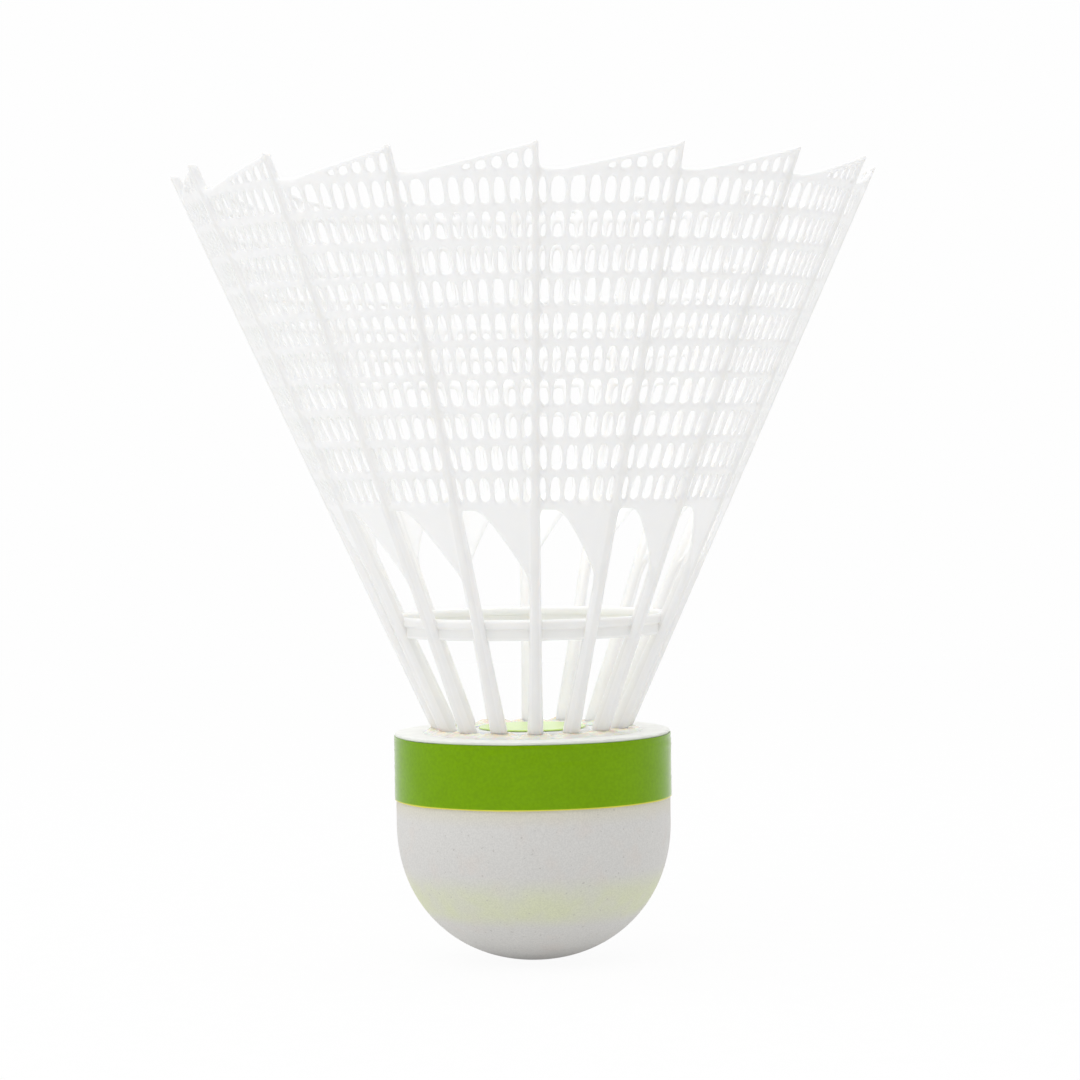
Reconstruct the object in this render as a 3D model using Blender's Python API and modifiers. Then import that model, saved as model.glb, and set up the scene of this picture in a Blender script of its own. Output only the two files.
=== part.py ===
"""A badminton shuttlecock: a moulded nylon skirt glued into a cork base.

Run it with: blender --background --python part.py
The nose of the base is at the origin and the skirt opens upwards, along +Z.
Angles round the axis start at -Y and turn towards +X. Lengths are in metres.
"""

import math

import bmesh
import bpy

MM = 0.001

# Driving dimensions
BASE_RADIUS = 13.35 * MM
BASE_TOP = 22.25 * MM
RIM_TOP = 76.6 * MM
ROOT_RADIUS = 9.76 * MM  # the stems' outer faces where they leave the base
TIP_RADIUS = 34.34 * MM  # the stems' outer faces at the rim
STEMS = 16
HOOPS = 11
HOOP_PITCH = 2.945 * MM
LOWEST_HOOP = 44.3 * MM

# Turned pieces share one set of facets, so they can lie this close together
TURNED_STEPS = 48
DOME_STEPS = 10
CLEARANCE = 0.05 * MM
SHARP_ANGLE = math.radians(35)

# Base
DOME_FULLNESS = 2.1  # 2 gives a hemisphere, more is squarer
COVER_THICKNESS = 0.5 * MM
FACING_THICKNESS = 0.3 * MM
BASE_SHOULDER = BASE_TOP - FACING_THICKNESS - CLEARANCE
BAND_HEIGHT = 6.1 * MM
BAND_THICKNESS = 0.1 * MM
BAND_OVERLAP = 4.0 * MM
BAND_END_ANGLE = math.radians(150)
BAND_SEGMENTS = 60
SEAT_RADIUS = 10.25 * MM
SEAT_FLOOR = 20.95 * MM
SOCKET_RADIUS = 4.95 * MM
SOCKET_FLOOR = 12.7 * MM

# Stems, as (height, size) in millimetres
STEM_ROOT = 21.5 * MM
STEM_WIDTHS = (
    (22.3, 1.78),
    (27.5, 1.50),
    (32.4, 1.32),
    (40.0, 1.05),
    (44.3, 0.80),
    (60.0, 0.60),
    (76.6, 0.52),
)
STEM_DEPTHS = ((22.3, 1.60), (32.4, 1.40), (44.3, 1.05), (76.6, 0.72))
TIP_ALLOWANCE = 0.1 * MM  # the stems are made this much too long, then cut level

# Net between the stems. Places across a cell run from 0 at one stem to 1 at the next.
NET_THICKNESS = 0.5 * MM
NET_SETBACK = 0.25 * MM  # from the stems' outer faces to the net's
HOOP_HEIGHT = 0.62 * MM
LOWEST_HOOP_HEIGHT = 0.85 * MM
UPRIGHT_WIDTH = 0.8 * MM
UPRIGHT_PLACE = 0.5
WEB_FOOT = 37.4 * MM
WEB_START = 0.31
TOOTH_START = 0.2
TOOTH_CURVE = 1.06
TOOTH_EDGE_HEIGHT = 0.5 * MM

# Root ring, hub and plug of the skirt
RING_HEIGHT = 32.4 * MM
RING_SETBACK = 0.85 * MM
RIB_LOW = 32.8 * MM
RIB_HIGH = 33.7 * MM
RIB_DEPTH = 0.95 * MM
FLANGE_LOW = 31.75 * MM
FLANGE_DEPTH = 0.50 * MM
FLANGE_SETBACK = 0.25 * MM
HUB_RADIUS = 9.95 * MM
HUB_TOP = 22.2 * MM
HUB_FLOOR = 21.0 * MM
BOSS_RADIUS = 5.6 * MM
BOSS_TOP = 22.52 * MM
PLUG_RADIUS = 4.9 * MM
PLUG_END = 13.0 * MM
PLUG_BORE = 3.9 * MM
PLUG_ROOF = 21.4 * MM
PLUG_CHAMFER = 0.4 * MM

# Adhesive and label
FILM_THICKNESS = 0.16 * MM
BEAD_TOP = 22.95 * MM
BEAD_SHOULDER = 22.75 * MM
BEAD_RADIUS = 10.95 * MM
LABEL_RADIUS = 5.2 * MM
LABEL_THICKNESS = 0.14 * MM

MATERIALS = {  # base colour, roughness
    "nylon_white": ((0.90, 0.90, 0.89), 0.42),
    "cork": ((0.55, 0.38, 0.22), 0.85),
    "cover_white": ((0.60, 0.58, 0.55), 0.75),
    "facing_white": ((0.80, 0.82, 0.74), 0.65),
    "band_green": ((0.16, 0.33, 0.002), 0.30),
    "adhesive_amber": ((0.72, 0.52, 0.27), 0.25),
    "label_green": ((0.45, 0.72, 0.05), 0.45),
}


# ---------------------------------------------------------------- helpers


def clear_scene():
    for obj in list(bpy.data.objects):
        bpy.data.objects.remove(obj)


def new_collection(name):
    collection = bpy.data.collections.new(name)
    bpy.context.scene.collection.children.link(collection)
    return collection


def material(name):
    found = bpy.data.materials.get(name)
    if found:
        return found
    colour, roughness = MATERIALS[name]
    made = bpy.data.materials.new(name)
    made.use_nodes = True
    shader = made.node_tree.nodes["Principled BSDF"]
    shader.inputs["Base Color"].default_value = (*colour, 1)
    shader.inputs["Roughness"].default_value = roughness
    shader.inputs["Metallic"].default_value = 0
    made.diffuse_color = (*colour, 1)
    return made


def add_object(name, bm, collection, material_name):
    mesh = bpy.data.meshes.new(name)
    bm.to_mesh(mesh)
    bm.free()
    mesh.materials.append(material(material_name))
    obj = bpy.data.objects.new(name, mesh)
    collection.objects.link(obj)
    return obj


def add_helper(name, bm, collection):
    obj = add_object(name, bm, collection, "nylon_white")
    obj.hide_render = True
    obj.display_type = "WIRE"
    return obj


def dome(radius):
    """Points (r, z) down the outside of a dome, from its widest circle to its lowest point on the axis."""
    power = 2 / DOME_FULLNESS
    points = []
    for step in range(DOME_STEPS):
        angle = math.pi / 2 * step / DOME_STEPS
        reach = radius * math.cos(angle) ** power
        points.append((reach, BASE_RADIUS - radius * math.sin(angle) ** power))
    return points + [(0, BASE_RADIUS - radius)]


def profile_mesh(points, closed):
    """A chain of edges in the XZ plane through the points (r, z)."""
    bm = bmesh.new()
    verts = [bm.verts.new((r, 0, z)) for r, z in points]
    for pair in zip(verts, verts[1:]):
        bm.edges.new(pair)
    if closed:
        bm.edges.new((verts[-1], verts[0]))
    return bm


def turn(obj):
    """Spins a profile once round Z."""
    screw = obj.modifiers.new("turn", "SCREW")
    screw.axis = "Z"
    screw.angle = math.tau
    screw.steps = TURNED_STEPS
    screw.render_steps = TURNED_STEPS
    screw.use_merge_vertices = True
    screw.merge_threshold = 0.00001


def thicken(obj, thickness, offset):
    """Gives a sheet its thickness: offset -1 puts it behind the faces, 1 in front of them."""
    solid = obj.modifiers.new("thickness", "SOLIDIFY")
    solid.thickness = thickness
    solid.offset = offset
    return solid


def boolean(obj, operation, other):
    modifier = obj.modifiers.new(operation.lower() + "_" + other.name, "BOOLEAN")
    modifier.operation = operation
    modifier.solver = "EXACT"
    modifier.object = other


def shade_round(obj):
    """Puts the result of the modifiers in the mesh and shades it smooth, except across sharp corners."""
    graph = bpy.context.evaluated_depsgraph_get()
    mesh = bpy.data.meshes.new_from_object(obj.evaluated_get(graph))
    obj.modifiers.clear()
    obj.data = mesh
    mesh.shade_smooth()
    mesh.set_sharp_from_angle(angle=SHARP_ANGLE)


def turned_part(name, points, collection, material_name, closed=True):
    obj = add_object(name, profile_mesh(points, closed), collection, material_name)
    turn(obj)
    shade_round(obj)
    return obj


def at_height(table, height):
    """Reads a table of (height, size) in millimetres, held at its ends and straight between its rows."""
    z = height / MM
    if z <= table[0][0]:
        return table[0][1] * MM
    for (low, first), (high, second) in zip(table, table[1:]):
        if z <= high:
            return (first + (second - first) * (z - low) / (high - low)) * MM
    return table[-1][1] * MM


# ---------------------------------------------------------------- skirt

# Each cell between two stems has four lines up the skirt: the first stem's edge, the two edges of
# the upright, and the next stem's edge. Each kind of row leaves some strips between them open.
LINES = 4
OPEN_STRIPS = {
    "stems_only": (0, 1, 2),
    "web": (0,),
    "hoop": (),
    "windows": (0, 2),
    "tooth": (0, 2),
    "tooth_edge": (0,),
}


def stem_radius(height):
    """Radius of the cone on which the stems' outer faces lie."""
    slope = (TIP_RADIUS - ROOT_RADIUS) / (RIM_TOP - BASE_TOP)
    return ROOT_RADIUS + slope * (height - BASE_TOP)


def skirt_rows():
    """The rows of the skirt from the root up, as (kind, height of its lower edge), and the rim."""
    rows = [("stems_only", STEM_ROOT), ("stems_only", RING_HEIGHT), ("web", WEB_FOOT)]
    for index in range(HOOPS):
        middle = LOWEST_HOOP + index * HOOP_PITCH
        half = (HOOP_HEIGHT if index else LOWEST_HOOP_HEIGHT) / 2
        above = "windows" if index < HOOPS - 1 else "tooth"
        rows += [("hoop", middle - half), (above, middle + half)]
    return rows + [("tooth_edge", RIM_TOP - TOOTH_EDGE_HEIGHT), ("rim", RIM_TOP + TIP_ALLOWANCE)]


def stem_edge(height):
    """Place across a cell of a stem's edge."""
    return at_height(STEM_WIDTHS, height) / 2 / (math.tau / STEMS * stem_radius(height))


def upright_edge(height, line):
    half = UPRIGHT_WIDTH / 2 / (math.tau / STEMS * stem_radius(height))
    return UPRIGHT_PLACE + (half if line == 2 else -half)


def tooth_rise(across):
    """Height of the sawtooth rim above the top hoop, as a share of its height at the stem."""
    return max(0.0, (across - TOOTH_START) / (1 - TOOTH_START)) ** TOOTH_CURVE


def crossing(rows, level, line):
    """Where a line of a cell meets a level: its place across the cell and its height.

    The third value tells whether the point is on a stem."""
    kind, height = rows[level]
    if line in (0, 3):
        edge = stem_edge(height)
        return (edge if line == 0 else 1 - edge), height, True
    if kind in ("stems_only", "web"):
        return 1 - stem_edge(height), height, True
    if kind in ("tooth", "tooth_edge", "rim"):
        hoop_top = dict(rows)["tooth"]
        across = TOOTH_START if line == 1 else upright_edge(hoop_top, line)
        rise = (height - hoop_top) * tooth_rise(across)
        return across, hoop_top + rise, False
    is_web_top = kind == "hoop" and rows[level - 1][0] == "web"
    if is_web_top and line == 1:
        return WEB_START, height, False
    return upright_edge(height, line), height, False


def skirt_sheet():
    """A grid bent round the cone, with the windows of the net taken out of it.

    The weight of each point, in the first vertex group, is its share of the greatest thickness."""
    rows = skirt_rows()
    columns = STEMS * LINES
    levels = len(rows) - 1
    bm = bmesh.new()
    bmesh.ops.create_grid(bm, x_segments=columns, y_segments=levels, size=0.5)
    weights = bm.verts.layers.deform.verify()

    openings = []
    for face in bm.faces:
        middle = face.calc_center_median()
        column = math.floor((middle.x + 0.5) * columns)
        kind = rows[math.floor((middle.y + 0.5) * levels)][0]
        if column % LINES in OPEN_STRIPS[kind]:
            openings.append(face)

    for vert in bm.verts:
        cell, line = divmod(round((vert.co.x + 0.5) * columns), LINES)
        across, height, on_stem = crossing(rows, round((vert.co.y + 0.5) * levels), line)
        angle = (cell + across) * math.tau / STEMS
        radius = stem_radius(height) - (0 if on_stem else NET_SETBACK)
        thickness = at_height(STEM_DEPTHS, height) if on_stem else NET_THICKNESS
        vert[weights][0] = thickness / at_height(STEM_DEPTHS, STEM_ROOT)
        vert.co = (radius * math.sin(angle), -radius * math.cos(angle), height)

    bmesh.ops.delete(bm, geom=openings, context="FACES")
    bmesh.ops.remove_doubles(bm, verts=bm.verts, dist=0.002 * MM)
    return bm


def make_ring(helpers):
    """The ring that ties the stems together below the webs: a rib with a thinner flange under it."""
    rib_outer = stem_radius(RING_HEIGHT) - RING_SETBACK
    rib_inner = rib_outer - RIB_DEPTH
    flange_outer = rib_outer - FLANGE_SETBACK
    flange_inner = flange_outer - FLANGE_DEPTH
    points = [
        (rib_inner, RIB_HIGH),
        (rib_outer, RIB_HIGH),
        (rib_outer, RIB_LOW),
        (flange_outer, RIB_LOW),
        (flange_outer, FLANGE_LOW),
        (flange_inner, FLANGE_LOW),
        (flange_inner, RIB_LOW),
        (rib_inner, RIB_LOW),
    ]
    ring = add_helper("ring_form", profile_mesh(points, closed=True), helpers)
    turn(ring)
    return ring


def make_hub(helpers):
    """The skirt's root: a disc that the stems stand on, a raised boss, and a hollow plug below."""
    points = [
        (0, BOSS_TOP),
        (BOSS_RADIUS, BOSS_TOP),
        (BOSS_RADIUS, HUB_TOP),
        (HUB_RADIUS, HUB_TOP),
        (HUB_RADIUS, HUB_FLOOR),
        (PLUG_RADIUS, HUB_FLOOR),
        (PLUG_RADIUS, PLUG_END + PLUG_CHAMFER),
        (PLUG_RADIUS - PLUG_CHAMFER, PLUG_END),
        (PLUG_BORE, PLUG_END),
        (PLUG_BORE, PLUG_ROOF),
        (0, PLUG_ROOF),
    ]
    hub = add_helper("hub_form", profile_mesh(points, closed=False), helpers)
    turn(hub)
    return hub


def make_rim_cutter(helpers):
    """A block above the rim, which cuts the stems' tips level."""
    size = 3 * TIP_RADIUS
    bm = bmesh.new()
    bmesh.ops.create_cube(bm, size=size)
    bmesh.ops.translate(bm, verts=bm.verts, vec=(0, 0, RIM_TOP + size / 2))
    return add_helper("rim_cutter", bm, helpers)


def make_skirt(parts, helpers):
    skirt = add_object("skirt", skirt_sheet(), parts, "nylon_white")
    skirt.vertex_groups.new(name="thickness")
    solid = thicken(skirt, at_height(STEM_DEPTHS, STEM_ROOT), offset=-1)
    solid.vertex_group = "thickness"
    boolean(skirt, "UNION", make_ring(helpers))
    boolean(skirt, "UNION", make_hub(helpers))
    boolean(skirt, "DIFFERENCE", make_rim_cutter(helpers))
    shade_round(skirt)


# ---------------------------------------------------------------- base


def make_core(parts):
    """The cork: a dome-ended cylinder with a seat for the skirt's hub and a socket for its plug."""
    radius = BASE_RADIUS - COVER_THICKNESS - CLEARANCE
    points = [
        (0, SOCKET_FLOOR),
        (SOCKET_RADIUS, SOCKET_FLOOR),
        (SOCKET_RADIUS, SEAT_FLOOR),
        (SEAT_RADIUS, SEAT_FLOOR),
        (SEAT_RADIUS, BASE_SHOULDER),
        (radius, BASE_SHOULDER),
    ]
    turned_part("base_core", points + dome(radius), parts, "cork", closed=False)


def make_cover(parts):
    """The white skin round the cork: a cup, given its thickness inwards."""
    points = [(BASE_RADIUS, BASE_SHOULDER)] + dome(BASE_RADIUS)
    cover = add_object("base_cover", profile_mesh(points, closed=False), parts, "cover_white")
    turn(cover)
    solid = thicken(cover, COVER_THICKNESS, offset=-1)
    solid.use_even_offset = True
    shade_round(cover)


def make_facing(parts):
    """The thin white washer on top of the cork, open in the middle for the skirt's hub."""
    low = BASE_TOP - FACING_THICKNESS
    points = [(SEAT_RADIUS, BASE_TOP), (BASE_RADIUS, BASE_TOP), (BASE_RADIUS, low), (SEAT_RADIUS, low)]
    turned_part("top_facing", points, parts, "facing_white")


def make_band(parts):
    """Coloured tape wound once round the base, with its outer end lapped over its inner end."""
    radius = (BASE_RADIUS + CLEARANCE) / math.cos(math.pi / TURNED_STEPS)
    lap = BAND_OVERLAP / radius
    lift = BAND_THICKNESS + CLEARANCE
    bm = bmesh.new()
    verts = []
    for step in range(BAND_SEGMENTS + 1):
        wound = (math.tau + lap) * step / BAND_SEGMENTS
        share = min(1.0, max(0.0, (wound - math.tau + lap) / lap))
        reach = radius + lift * share
        angle = BAND_END_ANGLE - lap + wound
        verts.append(bm.verts.new((reach * math.sin(angle), -reach * math.cos(angle), BASE_SHOULDER)))
    edges = [bm.edges.new(pair) for pair in zip(verts, verts[1:])]
    grown = bmesh.ops.extrude_edge_only(bm, edges=edges)["geom"]
    lower = [item for item in grown if isinstance(item, bmesh.types.BMVert)]
    bmesh.ops.translate(bm, verts=lower, vec=(0, 0, -BAND_HEIGHT))
    band = add_object("colour_band", bm, parts, "band_green")
    thicken(band, BAND_THICKNESS, offset=1)
    shade_round(band)


def make_adhesive(parts):
    """Glue round the skirt's hub: a film in the seat, which swells into a bead on top of the facing."""
    inner = (HUB_RADIUS + SEAT_RADIUS - FILM_THICKNESS) / 2
    outer = inner + FILM_THICKNESS
    facing = BASE_TOP + CLEARANCE
    stems_face = stem_radius(BEAD_TOP) + CLEARANCE
    points = [
        (stems_face, BEAD_TOP),
        ((stems_face + BEAD_RADIUS) / 2, BEAD_SHOULDER),
        (BEAD_RADIUS, facing),
        (outer, facing),
        (outer, HUB_FLOOR),
        (inner, HUB_FLOOR),
        (inner, facing),
    ]
    turned_part("adhesive", points, parts, "adhesive_amber")


def make_label(parts):
    """The round green label on the hub's boss."""
    bm = bmesh.new()
    bmesh.ops.create_cone(
        bm,
        cap_ends=True,
        segments=TURNED_STEPS,
        radius1=LABEL_RADIUS,
        radius2=LABEL_RADIUS,
        depth=LABEL_THICKNESS,
    )
    middle = BOSS_TOP + CLEARANCE + LABEL_THICKNESS / 2
    bmesh.ops.translate(bm, verts=bm.verts, vec=(0, 0, middle))
    shade_round(add_object("centre_label", bm, parts, "label_green"))


def main():
    clear_scene()
    parts = new_collection("shuttlecock")
    helpers = new_collection("forms_and_cutters")
    make_core(parts)
    make_cover(parts)
    make_facing(parts)
    make_band(parts)
    make_skirt(parts, helpers)
    make_adhesive(parts)
    make_label(parts)


main()
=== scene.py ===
"""Looks for the badminton shuttlecock: fine net, cover, tape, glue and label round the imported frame.

Lengths are in metres. Angles round the axis start at -Y and turn towards +X. Places round the skirt
are counted in cells, from one stem to the next, and depths are measured inwards from its cone.
"""

import math
import random

import bmesh
import bpy
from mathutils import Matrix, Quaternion, Vector, noise


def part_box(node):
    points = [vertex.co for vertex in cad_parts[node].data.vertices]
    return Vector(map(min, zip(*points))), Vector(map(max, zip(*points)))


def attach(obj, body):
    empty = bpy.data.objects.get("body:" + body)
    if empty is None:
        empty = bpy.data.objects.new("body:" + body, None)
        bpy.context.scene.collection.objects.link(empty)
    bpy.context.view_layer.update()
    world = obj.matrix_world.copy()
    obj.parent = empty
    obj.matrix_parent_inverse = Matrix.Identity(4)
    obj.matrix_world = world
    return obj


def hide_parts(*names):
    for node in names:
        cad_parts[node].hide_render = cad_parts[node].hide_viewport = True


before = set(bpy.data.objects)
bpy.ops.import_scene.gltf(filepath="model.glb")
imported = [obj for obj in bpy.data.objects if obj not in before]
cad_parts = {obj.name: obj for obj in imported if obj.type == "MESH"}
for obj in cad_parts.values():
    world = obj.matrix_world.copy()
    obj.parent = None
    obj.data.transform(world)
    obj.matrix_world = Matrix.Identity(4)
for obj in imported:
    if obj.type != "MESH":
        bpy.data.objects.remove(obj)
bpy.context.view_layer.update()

MM = 0.001
MERGE_DISTANCE = 0.001 * MM
BODY = "root"

# ---------------------------------------------------------------- sizes from the frame

RIM_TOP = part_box("skirt")[1].z
TIP_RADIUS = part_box("skirt")[1].x
PLUG_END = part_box("skirt")[0].z
BASE_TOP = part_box("top_facing")[1].z
FACING_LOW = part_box("top_facing")[0].z
BASE_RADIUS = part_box("base_cover")[1].x
COVER_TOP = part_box("base_cover")[1].z
BAND_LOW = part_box("colour_band")[0].z
BAND_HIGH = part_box("colour_band")[1].z
LABEL_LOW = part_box("centre_label")[0].z
LABEL_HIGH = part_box("centre_label")[1].z
LABEL_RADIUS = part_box("centre_label")[1].x
BEAD_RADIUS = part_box("adhesive")[1].x

# ---------------------------------------------------------------- sizes of the fine shapes

# Skirt: a cone of stems. Tables hold (height, size) in millimetres.
STEMS = 16
ROOT_RADIUS = 9.76 * MM
CONE_SLOPE = (TIP_RADIUS - ROOT_RADIUS) / (RIM_TOP - BASE_TOP)
LEAN = math.atan(CONE_SLOPE)
STEM_WIDTHS = (
    (22.0, 1.90),
    (23.4, 1.66),
    (27.5, 1.42),
    (32.4, 1.24),
    (39.6, 1.05),
    (44.3, 0.82),
    (50.0, 0.70),
    (58.7, 0.60),
    (76.6, 0.52),
)
STEM_DEPTHS = ((22.0, 1.85), (32.4, 1.50), (44.3, 1.20), (76.6, 0.90))
STEM_FRONT_ROUND = 0.16  # how far a stem's front edges lie back, as a share of its width
STEM_BACK_ROUND = 0.08
STEM_LOWEST = BASE_TOP - 0.95 * MM
STEM_BREAKS = 9  # levels from there up to the webs' feet

# Net: hoops, and rows of thin bars from the lowest hoop up. Bars are placed across a cell, which runs
# from 0 at one stem to 1 at the next.
HOOPS = 11
HOOP_PITCH = 2.945 * MM
LOWEST_HOOP = 44.3 * MM
HOOP_HEIGHT = 0.62 * MM
LOWEST_HOOP_HEIGHT = 0.84 * MM
TOP_HOOP_HEIGHT = 0.70 * MM
BARS_LOW = (0.147, 0.314, 0.49, 0.664, 0.83)
BARS_MIDDLE = (0.13, 0.25, 0.385, 0.51, 0.63, 0.765, 0.885)
BARS_HIGH = (0.09, 0.228, 0.367, 0.476, 0.585, 0.69, 0.80, 0.91)
BAR_ROWS = (BARS_LOW,) * 4 + (BARS_MIDDLE,) * 3 + (BARS_HIGH,) * 3
BAR_SHAPE = ((0.0, 0.36), (0.55, 0.50), (1.0, 0.64))  # (share of the way up, width in millimetres)
BAR_CREASES = (0.95, 0.0, 0.5)  # how sharp a bar's corners are at each of those places, from 0 to 1
NET_DEPTHS = (0.26 * MM, 0.70 * MM)  # of the net's outer and inner faces
BAR_DEPTHS = (0.29 * MM, 0.66 * MM)
MERGE_PLACES = 0.02  # edges of bars above and below a hoop this close share one column
PLACE_STEPS = 1e5  # in a cell; points that round to the same step and level are one point
HEIGHT_STEPS = 1e4  # in a millimetre

# Webs and sawtooth rim, placed across a cell in the same way
WEB_FOOT = 37.4 * MM
WEB_START = 0.31
WEB_ROWS = 5
WEB_COLUMNS = (0.0, 0.4, 0.75, 0.94)
WEB_DEPTHS = (0.30 * MM, 0.68 * MM)
TOOTH_SOLID = (0.2, 0.32, 0.42, 0.5)
TOOTH_BARS = (0.57, 0.68, 0.79, 0.90)
TOOTH_BAR_WIDTH = 0.42 * MM
TOOTH_RISE = 2.25 * MM
TOOTH_CURVE = 1.06
TOOTH_EDGE = 0.44 * MM
TIP_TAPER = 0.6

# Root ring, hub and plug
RING_HEIGHT = 32.4 * MM
RING_SETBACK = 0.80 * MM
RIB_LOW = 32.8 * MM
RIB_HIGH = 33.7 * MM
RIB_DEPTH = 0.95 * MM
RIB_ROUND = 0.25 * MM
FLANGE_LOW = 31.75 * MM
FLANGE_DEPTH = 0.50 * MM
FLANGE_SETBACK = 0.25 * MM
FLANGE_ROUND = 0.12 * MM
RING_STEPS = 112
HUB_RADIUS = 9.95 * MM
HUB_THICKNESS = 1.2 * MM
HUB_GAP = 0.05 * MM  # below the level of the washer, and below the label
HUB_EDGE = 0.12 * MM
HUB_STEPS = 96
BOSS_RADIUS = 5.6 * MM
PLUG_RADIUS = 4.9 * MM
PLUG_WALL = 1.0 * MM

# Base
DOME_FULLNESS = 2.1
COVER_THICKNESS = 0.5 * MM
SPIN_STEPS = 180
DOME_STEPS = 44
SIDE_STEPS = 8
LIP_STEPS = 6
LIP_ROUND = 0.06 * MM
SEAT_RADIUS = 10.25 * MM
FACING_STEPS = 384
FACING_WAVER = 0.05 * MM  # how far its top and its outer edge stray
FACING_EDGE_WAVES = 4 * MM
FACING_TOP_WAVES = 7 * MM
LABEL_RINGS = 10

# Tape: wound once round the base, ending over its own start at the back right
TAPE_GAP = 0.03 * MM
TAPE_THICKNESS = 0.10 * MM
TAPE_RISE = 0.06 * MM  # how far its upper edge stands above the CAD band's
TAPE_LAP = 4.0 * MM
TAPE_END_ANGLE = math.radians(150)
TAPE_STEPS = 260
TAPE_ROWS = 26
TAPE_WAVER = 0.05 * MM  # how far its edges stray up and down
TAPE_EDGE_WAVES = 6 * MM
TAPE_FACE_WAVES = 3 * MM
TAPE_WAVE_HEIGHT = 2 * MM
CREASE_START = (math.radians(50), 0.65 * MM)  # (angle, distance below the tape's upper edge)
CREASE_END = (math.radians(92), 1.25 * MM)
CREASE_HEIGHT = 0.05 * MM
CREASE_WIDTH = 0.16 * MM

# Glue round the stems' feet
GLUE_INNER = 7.7 * MM
GLUE_FOOT = BASE_TOP - 0.25 * MM
GLUE_STEPS = 384
GLUE_RINGS = 26
GLUE_FILM = 0.18 * MM
GLUE_HEAP = 0.34 * MM
GLUE_HEAP_SHARES = (0.65, 1.1)  # the least and most of that height that a stem's heap may have
GLUE_HEAP_SPREADS = (0.45, 0.8)  # the least and most that it spreads, in millimetres
GLUE_LUMP = 0.10 * MM
GLUE_LUMP_WAVES = 0.8 * MM
GLUE_GRAIN_WAVES = 0.4 * MM
GLUE_GRAIN_SHARE = 0.4
GLUE_LUMP_FADE = 0.3  # the power of a heap's height by which its lumps grow
GLUE_SHY = 0.5 * MM  # how far the glue's outer edge may fall short
GLUE_SHY_WAVES = 1.1 * MM
GLUE_DIP = 0.06 * MM
GLUE_SLOPES = (4, 5, 0.6)  # how steeply it rises from its inner and outer edges, and their roundness
GLUE_ROUGH = (0.30, 0.45)  # how lumpy it is all round, and how much more on its lumpy side
GLUE_LUMPY_SIDE = math.radians(278)
GLUE_LUMPY_WIDTH = 0.5  # in radians
GLUE_SEED = 16

# Noise that shapes wander by, with a seed for each use
NOISE_APART = 7.3  # steps between one seed's noise and the next's
FACING_EDGE_SEED = 1
FACING_TOP_SEED = 2
TAPE_EDGE_SEED = 3
TAPE_FACE_SEED = 4
GLUE_EDGE_SEED = 5
GLUE_LUMP_SEED = 6
GLUE_GRAIN_SEED = 7

# ---------------------------------------------------------------- camera, light and colours

CAMERA_DISTANCE = 330 * MM
CAMERA_HEIGHT = 50.2 * MM
CAMERA_ANGLE = math.radians(-1.85)
CAMERA_AIM = (1.03 * MM, 40.8 * MM)  # (to the right of the axis, height) of the middle of the picture
CAMERA_ROLL = math.radians(-0.88)
CAMERA_LENS = 113.1
CAMERA_SENSOR = 36
CAMERA_CLIP = (0.01, 20)

FLOOR_SIZE = 6.0
FLOOR_ALBEDO = 0.72
FLOOR_BOUNCE = 0.18
FLOOR_MATT = 0.05  # the share of the floor's look that takes shadows
FLOOR_FADE = (0.10, 0.45)  # distance over which the floor becomes the backdrop
BACKDROP = 0.991
ROOM_FRONT = 0.23
ROOM_BACK = 1.27
ROOM_AXIS = (-0.09, 0.96, 0.24)  # towards the bright side of the room
ROOM_TURN = (-0.9, 0.4)  # where the room turns from dim to bright, from -1 in front to 1 behind
TOP_LIGHT_PLACE = (-0.14, -0.40, 0.82)
TOP_LIGHT_AIM = (0, 0, 0.03)
TOP_LIGHT_SIZE = 0.8
TOP_LIGHT_POWER = 3.9

NOISE_RANGE = (0.3, 0.7)  # most of a noise texture's values lie between these
NYLON = (0.96, 0.957, 0.948)
NYLON_DEPTH = 0.8 * MM
NYLON_THICK_SHADE = 0.925  # painted shade: how bright the thick stems and ring are painted against the thin net, for the light that passes through the net and less through them
NET_STARTS = (0.12, 0.28)  # depths, in millimetres, over which the thin net and webs begin and end
NET_ENDS = (0.80, 0.92)
CORK = ((0.30, 0.17, 0.08), (0.62, 0.43, 0.25))
COVER = (0.735, 0.725, 0.705)
COVER_WARM = (0.75, 0.70, 0.66)
COVER_GREEN = (0.745, 0.77, 0.565)
GREEN_STARTS = (4.0, 5.8)  # heights, in millimetres, over which the cover's green ring comes and goes
GREEN_ENDS = (6.8, 9.8)
COVER_STAIN = (0.74, 0.71, 0.60)
STAIN_REACH = 2.0  # below the tape, in millimetres
STAIN_SHARE = 0.8
COVER_SPECK = (0.42, 0.40, 0.37)
SPECK_SHARE = 0.45
FACING = (0.93, 0.935, 0.90)
TAPE = (0.195, 0.39, 0.0005)
TAPE_EDGE = (0.80, 0.74, 0.10)
TAPE_EDGE_ENDS = (0.06, 0.16)  # above the tape's lower edge, in millimetres
TAPE_GLOSS = 0.10
TAPE_SHEEN = 0.3
GLUE = (0.85, 0.72, 0.50)
GLUE_PALE = (0.91, 0.88, 0.80)
GLUE_DEEPENS = (0.15, 0.55)  # heights above the base, in millimetres, over which pale turns to amber
LABEL = (0.63, 0.86, 0.22)

# ---------------------------------------------------------------- meshes


def new_object(name, mesh):
    obj = bpy.data.objects.new(name, mesh)
    bpy.context.scene.collection.objects.link(obj)
    return obj


def mesh_object(name, points, faces):
    mesh = bpy.data.meshes.new(name)
    mesh.from_pydata(points, [], faces)
    mesh.update()
    return new_object(name, mesh)


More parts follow.
